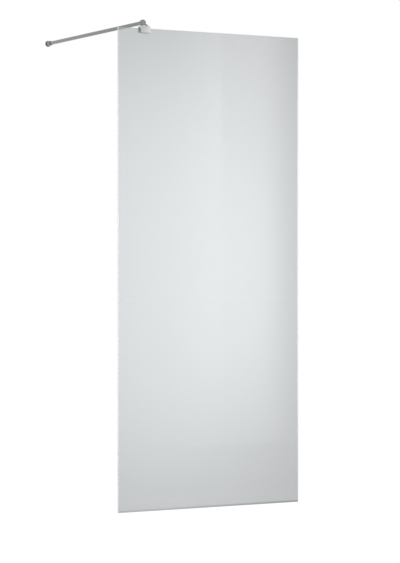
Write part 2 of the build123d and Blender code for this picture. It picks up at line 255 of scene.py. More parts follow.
@dataclass(frozen=True)
class Metal:
    """A bare or plated metal, with its marks of making and a faint cloudiness.

    Attributes:
        slot: start of the material's name.
        colour: mean colour.
        roughness: mean roughness.
        grain: which way the marks run.
        mark_size: distance between marks, in metres.
        mark_depth: depth of the marks, in metres.
        cloud_size: size of the clouds, in metres.
        cloud_share: share of the colour that the clouds take away.
        cloud_edges: values of the noise at which a cloud begins and is full.
        mark_gloss: how much the marks change the roughness.
        cloud_gloss: how much the clouds change the roughness.
    """

    slot: str
    colour: Colour
    roughness: float
    grain: Grain
    mark_size: float = 0.25 * MM
    mark_depth: float = 0.004 * MM
    cloud_size: float = 14.0 * MM
    cloud_share: float = 0.10
    cloud_edges: tuple[float, float] = (0.35, 0.65)
    mark_gloss: float = 0.10
    cloud_gloss: float = 0.05

    def material(self) -> bpy.types.Material:
        """Builds the metal."""
        nodes = Nodes(f"{self.slot}_{self.grain.name.lower()}")
        marks = self.grain.marks(nodes, self.mark_size)
        clouds = nodes.ease(nodes.noise(nodes.place(), 1.0 / self.cloud_size), *self.cloud_edges)
        dulled = tuple(channel * (1.0 - self.cloud_share) for channel in self.colour)
        gloss = self.mark_gloss * (marks - 0.5) + self.cloud_gloss * (clouds - 0.5)
        return nodes.principled(
            {
                "Base Color": nodes.blend(clouds, opaque(dulled), opaque(self.colour)),
                "Metallic": 1.0,
                "Roughness": self.roughness + gloss,
                "Normal": nodes.bump(marks, self.mark_depth),
            }
        )


@dataclass(frozen=True)
class Moulding:
    """A moulded plastic or rubber, with a fine mould grain and flecks.

    Attributes:
        slot: start of the material's name.
        colour: mean colour.
        fleck: colour of the flecks.
        roughness: mean roughness.
        grain_size: size of the mould grain, in metres.
        grain_depth: depth of the mould grain, in metres.
        subsurface: share of the light that scatters inside.
        scatter: how far that light travels, in metres.
        alpha: how opaque it is.
        flecks_a_grain: size of the grain as a share of the size of a fleck.
        fleck_edges: values of the noise at which a fleck begins and is full.
        grain_gloss: how much the grain changes the roughness.
    """

    slot: str
    colour: Colour
    fleck: Colour
    roughness: float
    grain_size: float = 0.35 * MM
    grain_depth: float = 0.02 * MM
    subsurface: float = 0.0
    scatter: float = 0.5 * MM
    alpha: float = 1.0
    flecks_a_grain: float = 0.3
    fleck_edges: tuple[float, float] = (0.52, 0.68)
    grain_gloss: float = 0.12

    def material(self) -> bpy.types.Material:
        """Builds the plastic."""
        nodes = Nodes(f"{self.slot}_moulded")
        grain = nodes.noise(nodes.place(), 1.0 / self.grain_size)
        spots = nodes.noise(nodes.place(), self.flecks_a_grain / self.grain_size, detail=6.0)
        flecks = nodes.ease(spots, *self.fleck_edges)
        return nodes.principled(
            {
                "Base Color": nodes.blend(flecks, opaque(self.colour), opaque(self.fleck)),
                "Roughness": self.roughness + self.grain_gloss * (grain - 0.5),
                "Subsurface Weight": self.subsurface,
                "Subsurface Scale": self.scatter,
                "Alpha": self.alpha,
                "Normal": nodes.bump(grain, self.grain_depth),
            }
        )


@dataclass(frozen=True)
class PaneFace:
    """The two wide faces of the glass.

    Attributes:
        width: width of the pane, in metres.
        slot: not used.
        tint: cool grey of the glass.
        rim_shade_tint: painted shade, a darker tone close to the bottom edge, deepest towards +X.
        alpha: how opaque one face is.
        rim_shade_alpha: how opaque one face is in that band of painted shade.
        rim: height of the band of painted shade along the bottom, in metres.
        roughness: roughness of the glass under its shine.
        shine_roughness: roughness of its shine.
        film_scale: patches of film per metre.
        film_gloss: how much the film changes the roughness.
        wave_length: distance between the waves that toughening leaves, in metres.
        wave_depth: depth of those waves, in metres.
    """

    width: float
    slot: str = "glass"
    tint: Colour = (0.117, 0.125, 0.128)
    # painted shade: a darker, more opaque band along the bottom edge
    rim_shade_tint: Colour = (0.060, 0.064, 0.066)
    alpha: float = 0.47
    rim_shade_alpha: float = 0.60
    rim: float = 11.0 * MM
    roughness: float = 0.06
    shine_roughness: float = 0.03
    film_scale: float = 9.0
    film_gloss: float = 0.04
    wave_length: float = 280.0 * MM
    wave_depth: float = 0.02 * MM

    def material(self) -> bpy.types.Material:
        """Builds the face of the glass."""
        nodes = Nodes("glass_face")
        point = nodes.place()
        axes = nodes.add("SeparateXYZ", None, {"Vector": point})
        height = nodes.wire(axes, "Z")
        # Painted shade: a darker, more opaque band along the bottom edge, twice as deep at the +X end as
        # at the -X end.
        to_wall = nodes.ease(nodes.wire(axes, "X"), -self.width / 2, self.width / 2)
        rim = nodes.ease(height, self.rim, self.rim / 3) * (0.5 + 0.5 * to_wall)
        waves = nodes.noise(
            nodes.stretched(point, (0.2, 0.2, 1.0)), 1.0 / self.wave_length, detail=1.0
        )
        film = nodes.noise(point, self.film_scale, detail=5.0)
        return nodes.principled(
            {
                "Base Color": nodes.blend(rim, opaque(self.tint), opaque(self.rim_shade_tint)),
                "Roughness": self.roughness + self.film_gloss * (film - 0.5),
                "Alpha": self.alpha + (self.rim_shade_alpha - self.alpha) * rim,
                "IOR": GLASS_IOR,
                "Coat Weight": 1.0,
                "Coat Roughness": self.shine_roughness,
                "Normal": nodes.bump(waves, self.wave_depth),
            }
        )


@dataclass(frozen=True)
class PaneEdge:
    """A narrow edge of the glass, polished flat or ground at a slant.

    Attributes:
        name: name of the finish.
        tint: colour of the edge.
        alpha: how opaque the edge is.
        roughness: roughness left by the wheel.
        sheen: how much brighter it looks at a slant than square on.
        sheen_roughness: how wide that brightness spreads.
        slot: not used.
        wheel_pitch: distance between the marks of the wheel, in metres.
        wheel_depth: depth of those marks, in metres.
        wheel_gloss: how much the marks change the roughness.
        cloud_scale: clouds per metre.
        cloud_share: share of the colour that the clouds take away.
        cloud_edges: values of the noise at which a cloud begins and is full.
    """

    name: str
    tint: Colour
    alpha: float
    roughness: float
    sheen: float = 0.0
    sheen_roughness: float = 0.45
    slot: str = "glass"
    wheel_pitch: float = 1.5 * MM
    wheel_depth: float = 0.003 * MM
    wheel_gloss: float = 0.08
    cloud_scale: float = 6.0
    cloud_share: float = 0.12
    cloud_edges: tuple[float, float] = (0.3, 0.7)

    def material(self) -> bpy.types.Material:
        """Builds the edge of the glass."""
        nodes = Nodes(self.name)
        point = nodes.place()
        marks = nodes.noise(point, 1.0 / self.wheel_pitch)
        clouds = nodes.ease(nodes.noise(point, self.cloud_scale), *self.cloud_edges)
        duller = tuple(channel * (1.0 - self.cloud_share) for channel in self.tint)
        return nodes.principled(
            {
                "Base Color": nodes.blend(clouds, opaque(duller), opaque(self.tint)),
                "Roughness": self.roughness + self.wheel_gloss * (marks - 0.5),
                "Alpha": self.alpha,
                "IOR": GLASS_IOR,
                "Sheen Weight": self.sheen,
                "Sheen Roughness": self.sheen_roughness,
                "Normal": nodes.bump(marks, self.wheel_depth),
            }
        )


Finish = Metal | Moulding | PaneFace | PaneEdge

CLAMP_METAL = Metal("clamp_metal", (0.51, 0.515, 0.52), 0.32, Grain.CAST, mark_size=0.4 * MM)
HEAD_METAL = Metal("head_metal", (0.235, 0.237, 0.243), 0.34, Grain.TURNED)
BAR_METAL = Metal("bar_metal", (0.250, 0.252, 0.258), 0.30, Grain.DRAWN)
SOCKET_METAL = Metal("socket_metal", (0.300, 0.302, 0.307), 0.32, Grain.TURNED)
STEEL = Metal("steel", (0.46, 0.46, 0.45), 0.28, Grain.CAST, mark_size=0.15 * MM)
ALUMINIUM = Metal("aluminium", (0.72, 0.72, 0.73), 0.38, Grain.TURNED)
LINER = Moulding("liner", (0.62, 0.64, 0.64), (0.70, 0.71, 0.71), 0.55, alpha=0.85)
NYLON = Moulding("nylon", (0.40, 0.405, 0.41), (0.36, 0.365, 0.37), 0.45, subsurface=0.10)
RUBBER = Moulding("rubber", (0.022, 0.022, 0.023), (0.05, 0.05, 0.05), 0.62)
POLISHED_EDGE = PaneEdge("glass_polished_edge", (0.40, 0.47, 0.45), 0.88, 0.12, sheen=1.0)
GROUND_ARRIS = PaneEdge("glass_ground_arris", (0.36, 0.38, 0.38), alpha=0.75, roughness=0.55)
LEVEL_EDGE = PaneEdge("glass_level_edge", (0.13, 0.14, 0.145), alpha=0.55, roughness=0.20)


@cache
def material_of(finish: Finish) -> bpy.types.Material:
    """The one material of a finish."""
    return finish.material()


# Shapes


@dataclass(frozen=True)
class Span:
    """The box that a node of the frame fills at rest.

    Attributes:
        low: its lowest corner.
        high: its highest corner.
    """

    low: Vector
    high: Vector

    @classmethod
    def of(cls, node: str) -> Span:
        """Box of a node."""
        return cls(*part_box(node))

    @property
    def size(self) -> Vector:
        """Its three sides."""
        return self.high - self.low

    @property
    def centre(self) -> Vector:
        """Its middle."""
        return (self.high + self.low) / 2


class Facing(Enum):
    """Where a piece's own X and Y axes point; its Z axis is square to both."""

    TO_WALL = ((1, 0, 0), (0, 0, -1))
    TO_FRONT = ((1, 0, 0), (0, 0, 1))
    UP = ((1, 0, 0), (0, 1, 0))
    ALONG_GLASS = ((0, 1, 0), (0, 0, 1))

    def seat(self, x: float, y: float, z: float) -> Matrix:
        """Placement of a piece whose origin is at that point of the frame."""
        across, up = (Vector(axis) for axis in self.value)
        turn = Matrix((across, up, across.cross(up))).transposed().to_4x4()
        return Matrix.Translation((x, y, z)) @ turn


@dataclass(frozen=True)
class Corner:
    """A corner of an outline.

    Attributes:
        across: first coordinate; the distance along the axis on a turned piece.
        up: second coordinate; the radius on a turned piece.
        round: radius that rounds the corner, or 0 for a sharp one.
    """

    across: float
    up: float
    round: float = 0.0

    @property
    def point(self) -> Vector:
        """The corner as a point."""
        return Vector((self.across, self.up))


def soften(corners: Sequence[Corner], closed: bool = True, steps: int = 5) -> list[Vector]:
    """Rounds the corners of an outline.

    Args:
        corners: the corners in order.
        closed: whether the last one joins the first one.
        steps: how many sides each rounded corner gets.

    Returns:
        The points of the rounded outline.
    """
    points: list[Vector] = []
    for index, corner in enumerate(corners):
        here = corner.point
        if corner.round == 0 or (not closed and index in (0, len(corners) - 1)):
            points.append(here)
            continue
        back = (corners[index - 1].point - here).normalized()
        ahead = (corners[(index + 1) % len(corners)].point - here).normalized()
        half = back.angle(ahead) / 2
        reach = corner.round / math.tan(half)
        centre = here + (back + ahead).normalized() * corner.round / math.sin(half)
        first = here + back * reach - centre
        last = here + ahead * reach - centre
        arc = [first.slerp(last, step / steps) for step in range(steps + 1)]
        points += [centre + corner.round * side for side in arc]
    return points


class Section(Enum):
    """Shape of one ring of a turned piece."""

    ROUND = "round"
    HEX = "six flats, for a key"


@dataclass(frozen=True)
class Ring:
    """One ring of a turned piece.

    Attributes:
        along: its place along the axis.
        radius: its radius, or half the distance between its flats.
        section: its shape.
        groove: depth of the thread at this ring, cut outwards where it is negative.
        pitch: distance between the turns of that thread.
    """

    along: float
    radius: float
    section: Section = Section.ROUND
    groove: float = 0.0
    pitch: float = 1.0

    def reach(self, angle: float) -> float:
        """Distance from the axis to the surface.

        Args:
            angle: direction round the axis, in radians.

        Returns:
            The distance.
        """
        if self.section is Section.HEX:
            return self.radius / math.cos(angle % (math.pi / 3) - math.pi / 6)
        turn = (self.along / self.pitch - angle / math.tau) % 1
        return self.radius - self.groove * (1 - abs(2 * turn - 1))


def rings(corners: Sequence[Corner], closed: bool = True) -> list[Ring]:
    """Round rings through a softened profile."""
    return [Ring(point.x, point.y) for point in soften(corners, closed)]


def threaded(start: float, end: float, radius: float, pitch: float, share: float = 0.55) -> list[Ring]:
    """Rings of a thread that runs out over its first and last turn.

    Args:
        start: where it begins along the axis.
        end: where it ends.
        radius: radius of the rod or hole that it is cut in.
        pitch: distance between its turns.
        share: depth as a share of the pitch, cut outwards where it is negative.

    Returns:
        The rings in order.
    """
    steps_a_turn = 8
    count = max(round(abs(end - start) / pitch * steps_a_turn), 2)
    made = []
    for step in range(count + 1):
        run_out = min(step, count - step, steps_a_turn) / steps_a_turn
        along = start + (end - start) * step / count
        made.append(Ring(along, radius, groove=share * pitch * run_out, pitch=pitch))
    return made


def key_socket(half_flats: float, depth: float, lead: float = 0.2 * MM) -> list[Ring]:
    """Rings of a hexagon key socket, from its drilled bottom out to its bevelled mouth.

    Args:
        half_flats: half the distance between its flats.
        depth: depth of the flats.
        lead: depth of the bevel at the mouth.

    Returns:
        The rings in order, ending at 0 along the axis.
    """
    mouth = half_flats / math.cos(math.pi / 6) + lead / 2
    drill_point = half_flats * 0.35
    return [
        Ring(depth + drill_point, 0.0),
        Ring(depth, half_flats, Section.HEX),
        Ring(lead, half_flats, Section.HEX),
        Ring(0.0, mouth),
    ]


def drill(*steps: tuple[float, float]) -> list[Ring]:
    """Rings through steps of place and radius, closed on the axis at both ends."""
    return [Ring(steps[0][0], 0.0), *(Ring(*step) for step in steps), Ring(steps[-1][0], 0.0)]


def turned(profile: Sequence[Ring], segments: int = 72) -> bmesh.types.BMesh:
    """Turns a profile round the Z axis.

    Args:
        profile: the rings in order; one of radius 0 is a point on the axis, and a profile with no
            such point is closed from its last ring to its first.
        segments: how many sides each ring has.

    Returns:
        The closed surface.
    """
    shape = bmesh.new()
    rows = []
    for ring in profile:
        angles = [0.0] if ring.radius == 0 else [math.tau * step / segments for step in range(segments)]
        row = []
        for angle in angles:
            reach = ring.reach(angle)
            row.append(shape.verts.new((reach * math.cos(angle), reach * math.sin(angle), ring.along)))
        rows.append(row)
    pairs = list(zip(rows, rows[1:]))
    if len(rows[0]) > 1:
        pairs.append((rows[-1], rows[0]))
    for low, high in pairs:
        for step in range(segments):
            here, there = step, step + 1
            corners = [low[here % len(low)], low[there % len(low)]]
            corners += [high[there % len(high)], high[here % len(high)]]
            shape.faces.new(list(dict.fromkeys(corners)))
    return shape


def prism(outline: Sequence[Vector], depth: float) -> bmesh.types.BMesh:
    """Carries an outline in the XY plane along +Z.

    Args:
        outline: points of the closed outline.
        depth: how far it is carried.

    Returns:
        The closed surface.
    """
    shape = bmesh.new()
    cap = shape.faces.new([shape.verts.new((point.x, point.y, 0.0)) for point in outline])
    made = bmesh.ops.extrude_face_region(shape, geom=[cap])["geom"]
    moved = [item for item in made if isinstance(item, bmesh.types.BMVert)]
    bmesh.ops.translate(shape, verts=moved, vec=(0.0, 0.0, depth))
    return shape


def round_rim(shape: bmesh.types.BMesh, level: float, width: float, steps: int = 4) -> None:
    """Rounds the edges of a prism that lie at one height.

    Args:
        shape: the prism.
        level: that height along Z.
        width: how far the rounding reaches.
        steps: how many sides it has.
    """
    rim = [
        edge
        for edge in shape.edges
        if all(abs(vertex.co.z - level) < 0.001 * MM for vertex in edge.verts)
    ]
    bmesh.ops.bevel(
        shape,
        geom=rim,
        offset=width,
        segments=steps,
        profile=0.5,
        affect="EDGES",
        clamp_overlap=True,
    )


def slab(width: float, height: float, depth: float, corner: float, edge: float) -> bmesh.types.BMesh:
    """A flat plate centred on the origin in XY, with rounded corners and softened edges.

    Args:
        width: side along X.
        height: side along Y.
        depth: thickness along Z.
        corner: radius of its four corners.
        edge: how far its edges are softened.

    Returns:
        The closed surface.
    """
    right, top = width / 2, height / 2
    signs = ((-1, -1), (1, -1), (1, 1), (-1, 1))
    shape = prism(soften([Corner(x * right, y * top, corner) for x, y in signs]), depth)
    for level in (0.0, depth):
        round_rim(shape, level, edge, steps=2)
    return shape


def linked(name: str, data: bpy.types.ID) -> bpy.types.Object:
    """Adds an object with that data to the scene."""
    made = bpy.data.objects.new(name, data)
    bpy.context.scene.collection.objects.link(made)
    return made


def sheet(name: str, corners: Sequence[Sequence[float]]) -> bpy.types.Object:
    """Adds a flat sheet with those four corners."""
    mesh = bpy.data.meshes.new(name)
    mesh.from_pydata(corners, [], [(0, 1, 2, 3)])
    return linked(name, mesh)


def placed(name: str, shapes: Iterable[tuple[bmesh.types.BMesh, Matrix]]) -> bpy.types.Object:
    """Joins shapes into one object, whose origin is that of the first one.

    Args:
        name: name of the object.
        shapes: each surface with its placement in the frame.

    Returns:
        The object, in place.
    """
    joined = bmesh.new()
    home: Matrix | None = None
    for shape, seat in shapes:
        home = home or seat
        part = bpy.data.meshes.new("part")
        shape.to_mesh(part)
        shape.free()
        part.transform(home.inverted() @ seat)
        joined.from_mesh(part)
        bpy.data.meshes.remove(part)
    bmesh.ops.recalc_face_normals(joined, faces=joined.faces)
    mesh = bpy.data.meshes.new(name)
    joined.to_mesh(mesh)
    joined.free()
    made = linked(name, mesh)
    made.matrix_world = home
    return made


def bake_modifiers(piece: bpy.types.Object) -> None:
    """Turns what a piece's modifiers make into its own mesh."""
    bpy.context.view_layer.update()
    graph = bpy.context.evaluated_depsgraph_get()
    mesh = bpy.data.meshes.new_from_object(piece.evaluated_get(graph))
    piece.modifiers.clear()
    piece.data = mesh


def carve(piece: bpy.types.Object, tools: Sequence[bpy.types.Object]) -> None:
    """Cuts tools out of a piece and throws them away.

    Args:
        piece: the piece, in place.
        tools: closed surfaces, in place.
    """
    for tool in tools:
        cut = piece.modifiers.new("cut", "BOOLEAN")
        cut.operation = "DIFFERENCE"
        cut.solver = "EXACT"
        cut.object = tool
    bake_modifiers(piece)
    for tool in tools:
        bpy.data.objects.remove(tool)


def break_edges(piece: bpy.types.Object, width: float, steps: int = 2) -> None:
    """Softens every sharp edge of a piece.

    Args:
        piece: the piece.
        width: how far the softening reaches.
        steps: how many sides it has.
    """
    bevel = piece.modifiers.new("edges", "BEVEL")
    bevel.width = width
    bevel.segments = steps
    bevel.limit_method = "ANGLE"
    bevel.angle_limit = SOFTENED_ANGLE
    bevel.use_clamp_overlap = True
    bake_modifiers(piece)


def present(piece: bpy.types.Object, finish: Finish, body: str, node: str) -> None:
    """Shades a made piece, dresses it and sets it on its body in place of its node.

    Args:
        piece: the piece, in place.
        finish: its finish.
        body: body of the frame that carries it.
        node: node of the frame that it stands for.
    """
    mesh = piece.data
    mesh.polygons.foreach_set("use_smooth", [True] * len(mesh.polygons))
    mesh.set_sharp_from_angle(angle=CRISP_ANGLE)
    mesh.materials.clear()
    mesh.materials.append(material_of(finish))
    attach(piece, body)
    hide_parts(node)
    LOG.info("%s: %d faces on %s", piece.name, len(mesh.polygons), body)


# Sub-assemblies


@dataclass
class Pane:
    """The toughened glass panel, with flat polished edges and ground arrises."""

    node: str = "glass_panel"
    square: float = 0.99

    def build(self) -> None:
        """Dresses the glass, which keeps the shape of the frame."""
        glass = bpy.data.objects[self.node]
        width = Span.of(self.node).size.x
        mesh = glass.data
        mesh.materials.clear()
        for finish in (PaneFace(width), POLISHED_EDGE, GROUND_ARRIS, LEVEL_EDGE):
            mesh.materials.append(material_of(finish))
        for polygon in mesh.polygons:
            polygon.material_index = self.finish_index(polygon.normal)
            polygon.use_smooth = False
        LOG.info("%s: %d faces dressed in place", glass.name, len(mesh.polygons))

    def finish_index(self, normal: Vector) -> int:
        """Which finish a polygon takes.

        Args:
            normal: direction that the polygon faces.

        Returns:
            0 on the wide faces, 1 on the upright edges, 2 on their slanted arrises and 3 on the
            edges and arrises along the top and the bottom.
        """
        if abs(normal.y) > self.square:
            return 0
        if abs(normal.z) > abs(normal.x):
            return 3
        return 1 if abs(normal.x) > self.square else 2


@dataclass
class Clamp:
    """The clamp on the top edge of the glass, with its liners, screws and bush.

    Sizes are in metres. The outline of the foot is measured from the bar axis and the top edge.
    """

    body: str = "clamp"
    shelf_rise: float = 8.5 * MM
    shoulder_radius: float = 27.0 * MM
    shoulder_across: float = 10.0 * MM
    shoulder_drop: float = 10.0 * MM
    cheek_across: float = 15.03 * MM
    cheek_root: float = 1.0 * MM
    foot_corner: float = 3.0 * MM
    front_round: float = 1.0 * MM
    back_round: float = 0.5 * MM
    broken_edge: float = 0.2 * MM
    front_jaw: float = 11.5 * MM
    slot_play: float = 0.3 * MM
    screw_radius: float = 3.0 * MM
    screw_key: float = 1.5 * MM
    screw_key_depth: float = 2.5 * MM
    screw_pitch: float = 1.0 * MM
    screw_tip: float = 0.5 * MM
    hole_play: float = 0.02 * MM
    pocket_radius: float = 4.5 * MM
    pivot_hole_radius: float = 2.75 * MM
    bush_wall: float = 1.0 * MM
    bush_bore: float = 2.55 * MM
    bush_flange: float = 1.5 * MM
    pad_corner: float = 1.5 * MM
    pad_edge: float = 0.15 * MM
    groove_width: float = 3.0 * MM
    groove_depth: float = 0.8 * MM
    groove_round: float = 0.2 * MM
    block_round: float = 0.4 * MM
    glass_top: float = field(init=False)
    bar_x: float = field(init=False)

    def __post_init__(self) -> None:
        """Reads from the frame where the clamp stands."""
        self.glass_top = Span.of("glass_panel").high.z
        self.bar_x = Span.of("support_bar").centre.x

    def build(self) -> None:
        """Builds every piece of the clamp."""
        self.foot()
        self.pads()
        self.plate()
        self.edge_block()
        self.screws()
        self.bush()
        self.washer()

    def shoulder(self, steps: int = 40) -> list[Vector]:
        """Arc of the right side of the foot, from the cheek down to the bottom edge.

        Args:
            steps: how many sides the arc has.

        Returns:
            Its points.
        """
        centre = Vector((self.shoulder_across, -self.shoulder_drop))
        drop = self.glass_top - Span.of("clamp_foot").low.z
        start = math.acos((self.cheek_across - centre.x) / self.shoulder_radius)
        end = math.asin((-drop - centre.y) / self.shoulder_radius)
        angles = [start + (end - start) * step / steps for step in range(steps + 1)]
        return [
            centre + self.shoulder_radius * Vector((math.cos(angle), math.sin(angle)))
            for angle in angles
        ]

    def foot(self) -> None:
        """Saddle over the edge of the glass, with a cheek beside the swivel head."""
        span = Span.of("clamp_foot")
        left = span.low.x - self.bar_x
        bottom = span.low.z - self.glass_top
        depth = span.size.y
        arc = self.shoulder()
        low_left = soften(
            [
                Corner(arc[-1].x, arc[-1].y),
                Corner(left, bottom, self.foot_corner),
                Corner(left, self.shelf_rise),
                Corner(self.cheek_across, self.shelf_rise, self.cheek_root),
                Corner(arc[0].x, arc[0].y),
            ],
            closed=False,
        )
        blank = prism([*arc[:-1], *low_left[:-1]], depth)
        round_rim(blank, depth, self.front_round)
        round_rim(blank, 0.0, self.back_round)
        seat = Facing.TO_FRONT.seat(self.bar_x, span.high.y, self.glass_top)
        foot = placed("clamp_foot_cast", [(blank, seat)])
        carve(foot, [self.slot_tool(), self.shelf_tool(), self.pivot_tool(), self.screw_tool()])
        break_edges(foot, self.broken_edge)
        present(foot, CLAMP_METAL, self.body, "clamp_foot")

    def slot_tool(self) -> bpy.types.Object:
        """Cutter for the slot that takes the glass, its pads and the edge block."""
        foot = Span.of("clamp_foot")
        slot_front = Span.of("front_pad").low.y
        slot_back = Span.of("pressure_plate").high.y + self.slot_play
        top = Span.of("edge_block").high.z
        bottom = foot.low.z - foot.size.z
        blank = slab(4 * foot.size.x, top - bottom, slot_back - slot_front, CUTTER_CORNER, self.pad_edge)
        seat = Facing.TO_FRONT.seat(self.bar_x, slot_back, (top + bottom) / 2)
        return placed("slot_tool", [(blank, seat)])

    def shelf_tool(self) -> bpy.types.Object:
        """Cutter that takes the cheek off behind the front jaw."""
        foot = Span.of("clamp_foot")
        depth = 2 * foot.size.y
        height = foot.size.z
        blank = slab(4 * foot.size.x, height, depth, CUTTER_CORNER, self.pad_edge)
        middle = self.glass_top + self.shelf_rise + height / 2
        seat = Facing.TO_FRONT.seat(self.bar_x, foot.low.y + self.front_jaw + depth, middle)
        return placed("shelf_tool", [(blank, seat)])

    def pivot_tool(self) -> bpy.types.Object:
        """Cutter for the stepped hole of the pivot screw, its washer and its bush."""
        foot = Span.of("clamp_foot")
        screw = Span.of("pivot_screw")
        pocket = Span.of("pivot_washer").high.z - foot.low.z
        bush_foot = Span.of("pivot_bush").low.z - foot.low.z
        bush_radius = self.bush_bore + self.bush_wall + self.hole_play
        steps = drill(
            (-OVERRUN, self.pocket_radius + self.broken_edge + OVERRUN),
            (self.broken_edge, self.pocket_radius),
            (pocket, self.pocket_radius),
            (pocket, self.pivot_hole_radius),
            (bush_foot, self.pivot_hole_radius),
            (bush_foot, bush_radius),
            (foot.size.z, bush_radius),
        )
        seat = Facing.UP.seat(screw.centre.x, screw.centre.y, foot.low.z)
        return placed("pivot_tool", [(turned(steps), seat)])

    def screw_spots(self) -> list[Matrix]:
        """Placement of each clamp screw, with its keyed end at the back."""
        span = Span.of("clamp_screws")
        columns = (span.low.x + self.screw_radius, span.high.x - self.screw_radius)
        return [Facing.TO_FRONT.seat(x, span.high.y, span.centre.z) for x in columns]

    def screw_tool(self) -> bpy.types.Object:
        """Cutter for the two threaded holes in the back jaw, bevelled at the mouth."""
        radius = self.screw_radius + self.hole_play
        recess = Span.of("clamp_foot").high.y - Span.of("clamp_screws").high.y
        bevel = 0.3 * MM
        back_jaw = Span.of("clamp_foot").high.y - Span.of("pressure_plate").high.y
        steps = drill(
            (-OVERRUN - recess, radius + bevel + OVERRUN),
            (bevel - recess, radius),
            (back_jaw, radius),
        )
        return placed("screw_tool", [(turned(steps), seat) for seat in self.screw_spots()])

    def flat_piece(self, node: str, way: str) -> bpy.types.Object:
        """Plate with rounded corners that fills the box of a node.

        Args:
            node: the node.
            way: how it is made, for its name.

        Returns:
            The piece, in place.
        """
        span = Span.of(node)
        blank = slab(span.size.x, span.size.z, span.size.y, self.pad_corner, self.pad_edge)
        seat = Facing.TO_FRONT.seat(span.centre.x, span.high.y, span.centre.z)
        return placed(f"{node}_{way}", [(blank, seat)])

    def pads(self) -> None:
        """Soft liners on both sides of the glass."""
        for node in ("front_pad", "back_pad"):
            present(self.flat_piece(node, "liner"), LINER, self.body, node)

    def plate(self) -> None:
        """Steel plate, with a shallow dimple where each screw presses."""
        plate = self.flat_piece("pressure_plate", "pressed")
        face = Span.of("pressure_plate").high.y
        tip = self.screw_radius - self.screw_tip
        dimple = drill((-0.5 * MM, tip), (0.1 * MM, tip - 0.2 * MM), (0.2 * MM, tip / 2))
        spots = [spot.translation for spot in self.screw_spots()]
        seats = [Facing.TO_FRONT.seat(spot.x, face, spot.z) for spot in spots]
        carve(plate, [placed("dimple_tool", [(turned(dimple), seat) for seat in seats])])
        present(plate, STEEL, self.body, "pressure_plate")

    def edge_block(self) -> None:
        """Nylon block on the edge of the glass, with a relief groove underneath."""
        span = Span.of("edge_block")
        half, height = span.size.y / 2, span.size.z
        groove, depth = self.groove_width / 2, self.groove_depth
        low = [(-half, 0.0), (-groove, 0.0), (-groove, depth), (groove, depth), (groove, 0.0), (half, 0.0)]
        corners = [Corner(*place, self.groove_round) for place in low]
        corners += [Corner(side, height, self.block_round) for side in (half, -half)]
        blank = prism(soften(corners), span.size.x)
        for level in (0.0, span.size.x):
            round_rim(blank, level, self.pad_edge, steps=2)
        seat = Facing.ALONG_GLASS.seat(span.low.x, span.centre.y, span.low.z)
        present(placed("edge_block_moulded", [(blank, seat)]), NYLON, self.body, "edge_block")

    def screws(self) -> None:
        """Two threaded set screws with cup points."""
        length = Span.of("clamp_screws").size.y
        bevel = 0.4 * MM
        profile = [
            *key_socket(self.screw_key, self.screw_key_depth),
            Ring(0.0, self.screw_radius - bevel),
            *threaded(bevel, length - self.screw_tip, self.screw_radius, self.screw_pitch),
            Ring(length, self.screw_radius - self.screw_tip),
            Ring(length, self.screw_radius / 2),
            Ring(length - self.screw_tip, 0.0),
        ]
        shapes = [(turned(profile, 48), seat) for seat in self.screw_spots()]
        present(placed("clamp_screws_threaded", shapes), STEEL, self.body, "clamp_screws")

    def bush(self) -> None:
        """Flanged bush under the swivel head."""
        span = Span.of("pivot_bush")
        length, flange_radius = span.size.z, span.size.x / 2
        wall = self.bush_bore + self.bush_wall
        shoulder = length - self.bush_flange
        profile = rings(
            [
                Corner(0.0, self.bush_bore, 0.1 * MM),
                Corner(0.0, wall, 0.3 * MM),
                Corner(shoulder, wall, 0.2 * MM),
                Corner(shoulder, flange_radius, 0.2 * MM),
                Corner(length, flange_radius, 0.3 * MM),
                Corner(length, self.bush_bore, 0.2 * MM),
            ]
        )
        seat = Facing.UP.seat(span.centre.x, span.centre.y, span.low.z)
        present(placed("pivot_bush_moulded", [(turned(profile), seat)]), NYLON, self.body, "pivot_bush")

    def washer(self) -> None:
        """Washer under the head of the pivot screw."""
        profile, seat = washer_of("pivot_washer", 2.6 * MM, Facing.UP)
        present(placed("pivot_washer_pressed", [(profile, seat)]), STEEL, self.body, "pivot_washer")


def washer_of(node: str, bore: float, facing: Facing) -> tuple[bmesh.types.BMesh, Matrix]:
    """A flat washer that fills the box of a node.

    Args:
        node: the node.
        bore: radius of its hole.
        facing: which way its axis points.

    Returns:
        The surface and its placement.
    """
    span = Span.of(node)
    radius = span.size.x / 2
    thickness = min(span.size)
    edge = 0.15 * MM
    profile = rings(
        [
            Corner(0.0, bore, edge),
            Corner(0.0, radius, edge),
            Corner(thickness, radius, edge),
            Corner(thickness, bore, edge),
        ]
    )
    start = (span.centre.x, span.low.y, span.centre.z)
    if facing is Facing.UP:
        start = (span.centre.x, span.centre.y, span.low.z)
    return turned(profile), facing.seat(*start)


